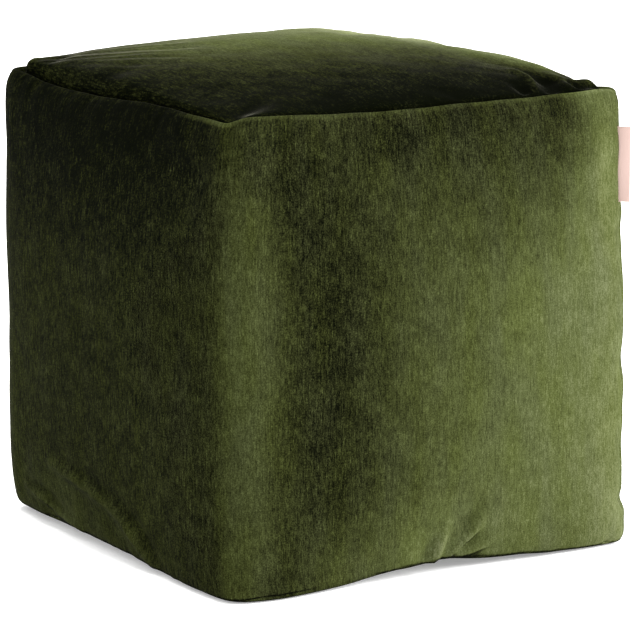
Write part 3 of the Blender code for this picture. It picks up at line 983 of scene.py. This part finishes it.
bottom = bottom_grid()
set_pile_and_painted_light(bottom, np.full(len(bottom.data.vertices), BOTTOM_PILE))
close_ends(bottom, dish=True)
bottom.data.shade_smooth()
bottom.data.materials.append(
    velvet("olive_cut_velvet_bottom", radians(14), gloss=0.01, sheen=0.012, sheen_spread=0.3)
)
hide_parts("bottom_panel")
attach(bottom, "root")

# ---------------------------------------------------------------------------------------
# The label: a narrow woven ribbon folded once down its middle, both raw ends sewn into the
# band's closing seam near the top. It is bare.
# ---------------------------------------------------------------------------------------
label_low, label_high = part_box("label")
RIBBON = 0.35 * MM
RIBBON_LOOP = 0.55 * MM
LABEL_BASE = hypot(label_low.x, label_high.y)
LABEL_TIP = hypot(label_high.x, label_low.y)
LABEL_RISE = label_high.z - label_low.z
LABEL_WAVE = 0.9 * MM
LABEL_LEAN = 0.4 * MM


def ribbon_label():
    """A flat grid bent once round its middle, then given the ribbon's thickness."""
    label = surface("side_label", 40, 48)
    grid = points_of(label)
    straight = LABEL_TIP - LABEL_BASE - RIBBON_LOOP
    half_length = straight + pi / 2 * RIBBON_LOOP
    run = grid[:, 0] * 2 * half_length
    turn = np.clip(np.abs(run) / RIBBON_LOOP, 0, pi / 2)
    out = np.where(
        np.abs(run) < pi / 2 * RIBBON_LOOP,
        LABEL_BASE + straight + RIBBON_LOOP * np.cos(turn),
        LABEL_BASE + half_length - np.abs(run),
    )
    across = np.sign(run) * RIBBON_LOOP * np.sin(turn)
    up = grid[:, 1] * LABEL_RISE
    proud = (out - LABEL_BASE) / (LABEL_TIP - LABEL_BASE)
    across = across + proud**2 * (LABEL_WAVE * np.cos(up / LABEL_RISE * 5.0) + LABEL_LEAN)
    x, y = (out + across) * sqrt(0.5), (across - out) * sqrt(0.5)
    z = up + (label_low.z + label_high.z) / 2
    move_points(label, np.stack((x, y, z), axis=1))
    solid = label.modifiers.new("thickness", "SOLIDIFY")
    solid.thickness = RIBBON
    solid.offset = 0
    bpy.ops.object.select_all(action="DESELECT")
    bpy.context.view_layer.objects.active = label
    bpy.ops.object.modifier_apply(modifier=solid.name)
    label.data.shade_smooth()
    return label, 2 * half_length


label, ribbon_length = ribbon_label()
WEFT_RIB = 0.8 * MM  # the real ribs are finer, and are drawn this coarse to show
WAVE_TURNS = 20 / (2 * pi)  # that Blender's wave texture makes in one unit


def woven_ribbon():
    """Satin-woven polyester ribbon: fine weft ribs across it and a soft low gloss."""
    made = bpy.data.materials.new("salmon_woven_ribbon")
    made.use_nodes = True
    tree = made.node_tree
    shader = tree.nodes["Principled BSDF"]
    place = node(tree, "ShaderNodeTexCoord").outputs["Object"]
    ribs = node(tree, "ShaderNodeTexWave", {
        "Vector": place, "Scale": 1 / (WAVE_TURNS * WEFT_RIB), "Distortion": 0.6, "Detail": 1.0,
    }, bands_direction="Z").outputs["Fac"]
    ramp = node(tree, "ShaderNodeValToRGB", {"Fac": ribs})
    ramp.color_ramp.elements[0].color = linear("#b99b92")
    ramp.color_ramp.elements[1].color = linear("#cbb0a9")
    tree.links.new(ramp.outputs["Color"], shader.inputs["Base Color"])
    bump = node(tree, "ShaderNodeBump", {"Strength": 0.3, "Distance": 0.1 * MM, "Height": ribs})
    tree.links.new(bump.outputs["Normal"], shader.inputs["Normal"])
    shader.inputs["Roughness"].default_value = 0.6
    return made


label.data.materials.append(woven_ribbon())
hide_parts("label")
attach(label, "root")

# ---------------------------------------------------------------------------------------
# The stage: a plain pale floor, soft studio lights and a long-lens camera. None of it is
# part of the pouf.
# ---------------------------------------------------------------------------------------
bpy.ops.object.select_all(action="DESELECT")
bpy.ops.mesh.primitive_plane_add(size=40)
floor = bpy.context.object
floor.name = "floor"
pale = bpy.data.materials.new("pale_floor")
pale.use_nodes = True
pale.node_tree.nodes["Principled BSDF"].inputs["Base Color"].default_value = linear("#f6f6f5")
pale.node_tree.nodes["Principled BSDF"].inputs["Roughness"].default_value = 0.9
pale.node_tree.nodes["Principled BSDF"].inputs["Emission Color"].default_value = (1, 1, 1, 1)
pale.node_tree.nodes["Principled BSDF"].inputs["Emission Strength"].default_value = 0.30
floor.data.materials.append(pale)

world = bpy.data.worlds.new("studio")
bpy.context.scene.world = world
world.use_nodes = True
world.node_tree.nodes["Background"].inputs["Color"].default_value = (1, 1, 1, 1)
world.node_tree.nodes["Background"].inputs["Strength"].default_value = 1.2


def sun(name, azimuth, elevation, strength, spread):
    """A soft light from one side. Azimuth is in degrees, 0 in front of the pouf, 90 at +X."""
    light = bpy.data.lights.new(name, "SUN")
    light.energy = strength
    light.angle = radians(spread)
    lamp = bpy.data.objects.new(name, light)
    bpy.context.collection.objects.link(lamp)
    a, e = radians(azimuth), radians(elevation)
    away = Vector((sin(a) * cos(e), -cos(a) * cos(e), sin(e)))
    lamp.rotation_euler = away.to_track_quat("Z", "Y").to_euler()


sun("key", 60, 22, 6.5, 30)
sun("overhead", 180, 80, 3.0, 32)

CAMERA_AZIMUTH = 58.44
CAMERA_FALL = 10.98
camera = bpy.data.cameras.new("camera")
camera.sensor_width = 36
camera.lens = 210.66
eye = bpy.data.objects.new("camera", camera)
bpy.context.collection.objects.link(eye)
eye.location = (-1.7368 + CENTRE[0], -2.8408 + CENTRE[1], 0.836)
a, e = radians(CAMERA_AZIMUTH), radians(-CAMERA_FALL)
look = Vector((cos(a) * cos(e), sin(a) * cos(e), sin(e)))
eye.rotation_euler = look.to_track_quat("-Z", "Y").to_euler()
bpy.context.scene.camera = eye
bpy.context.scene.view_settings.view_transform = "Standard"
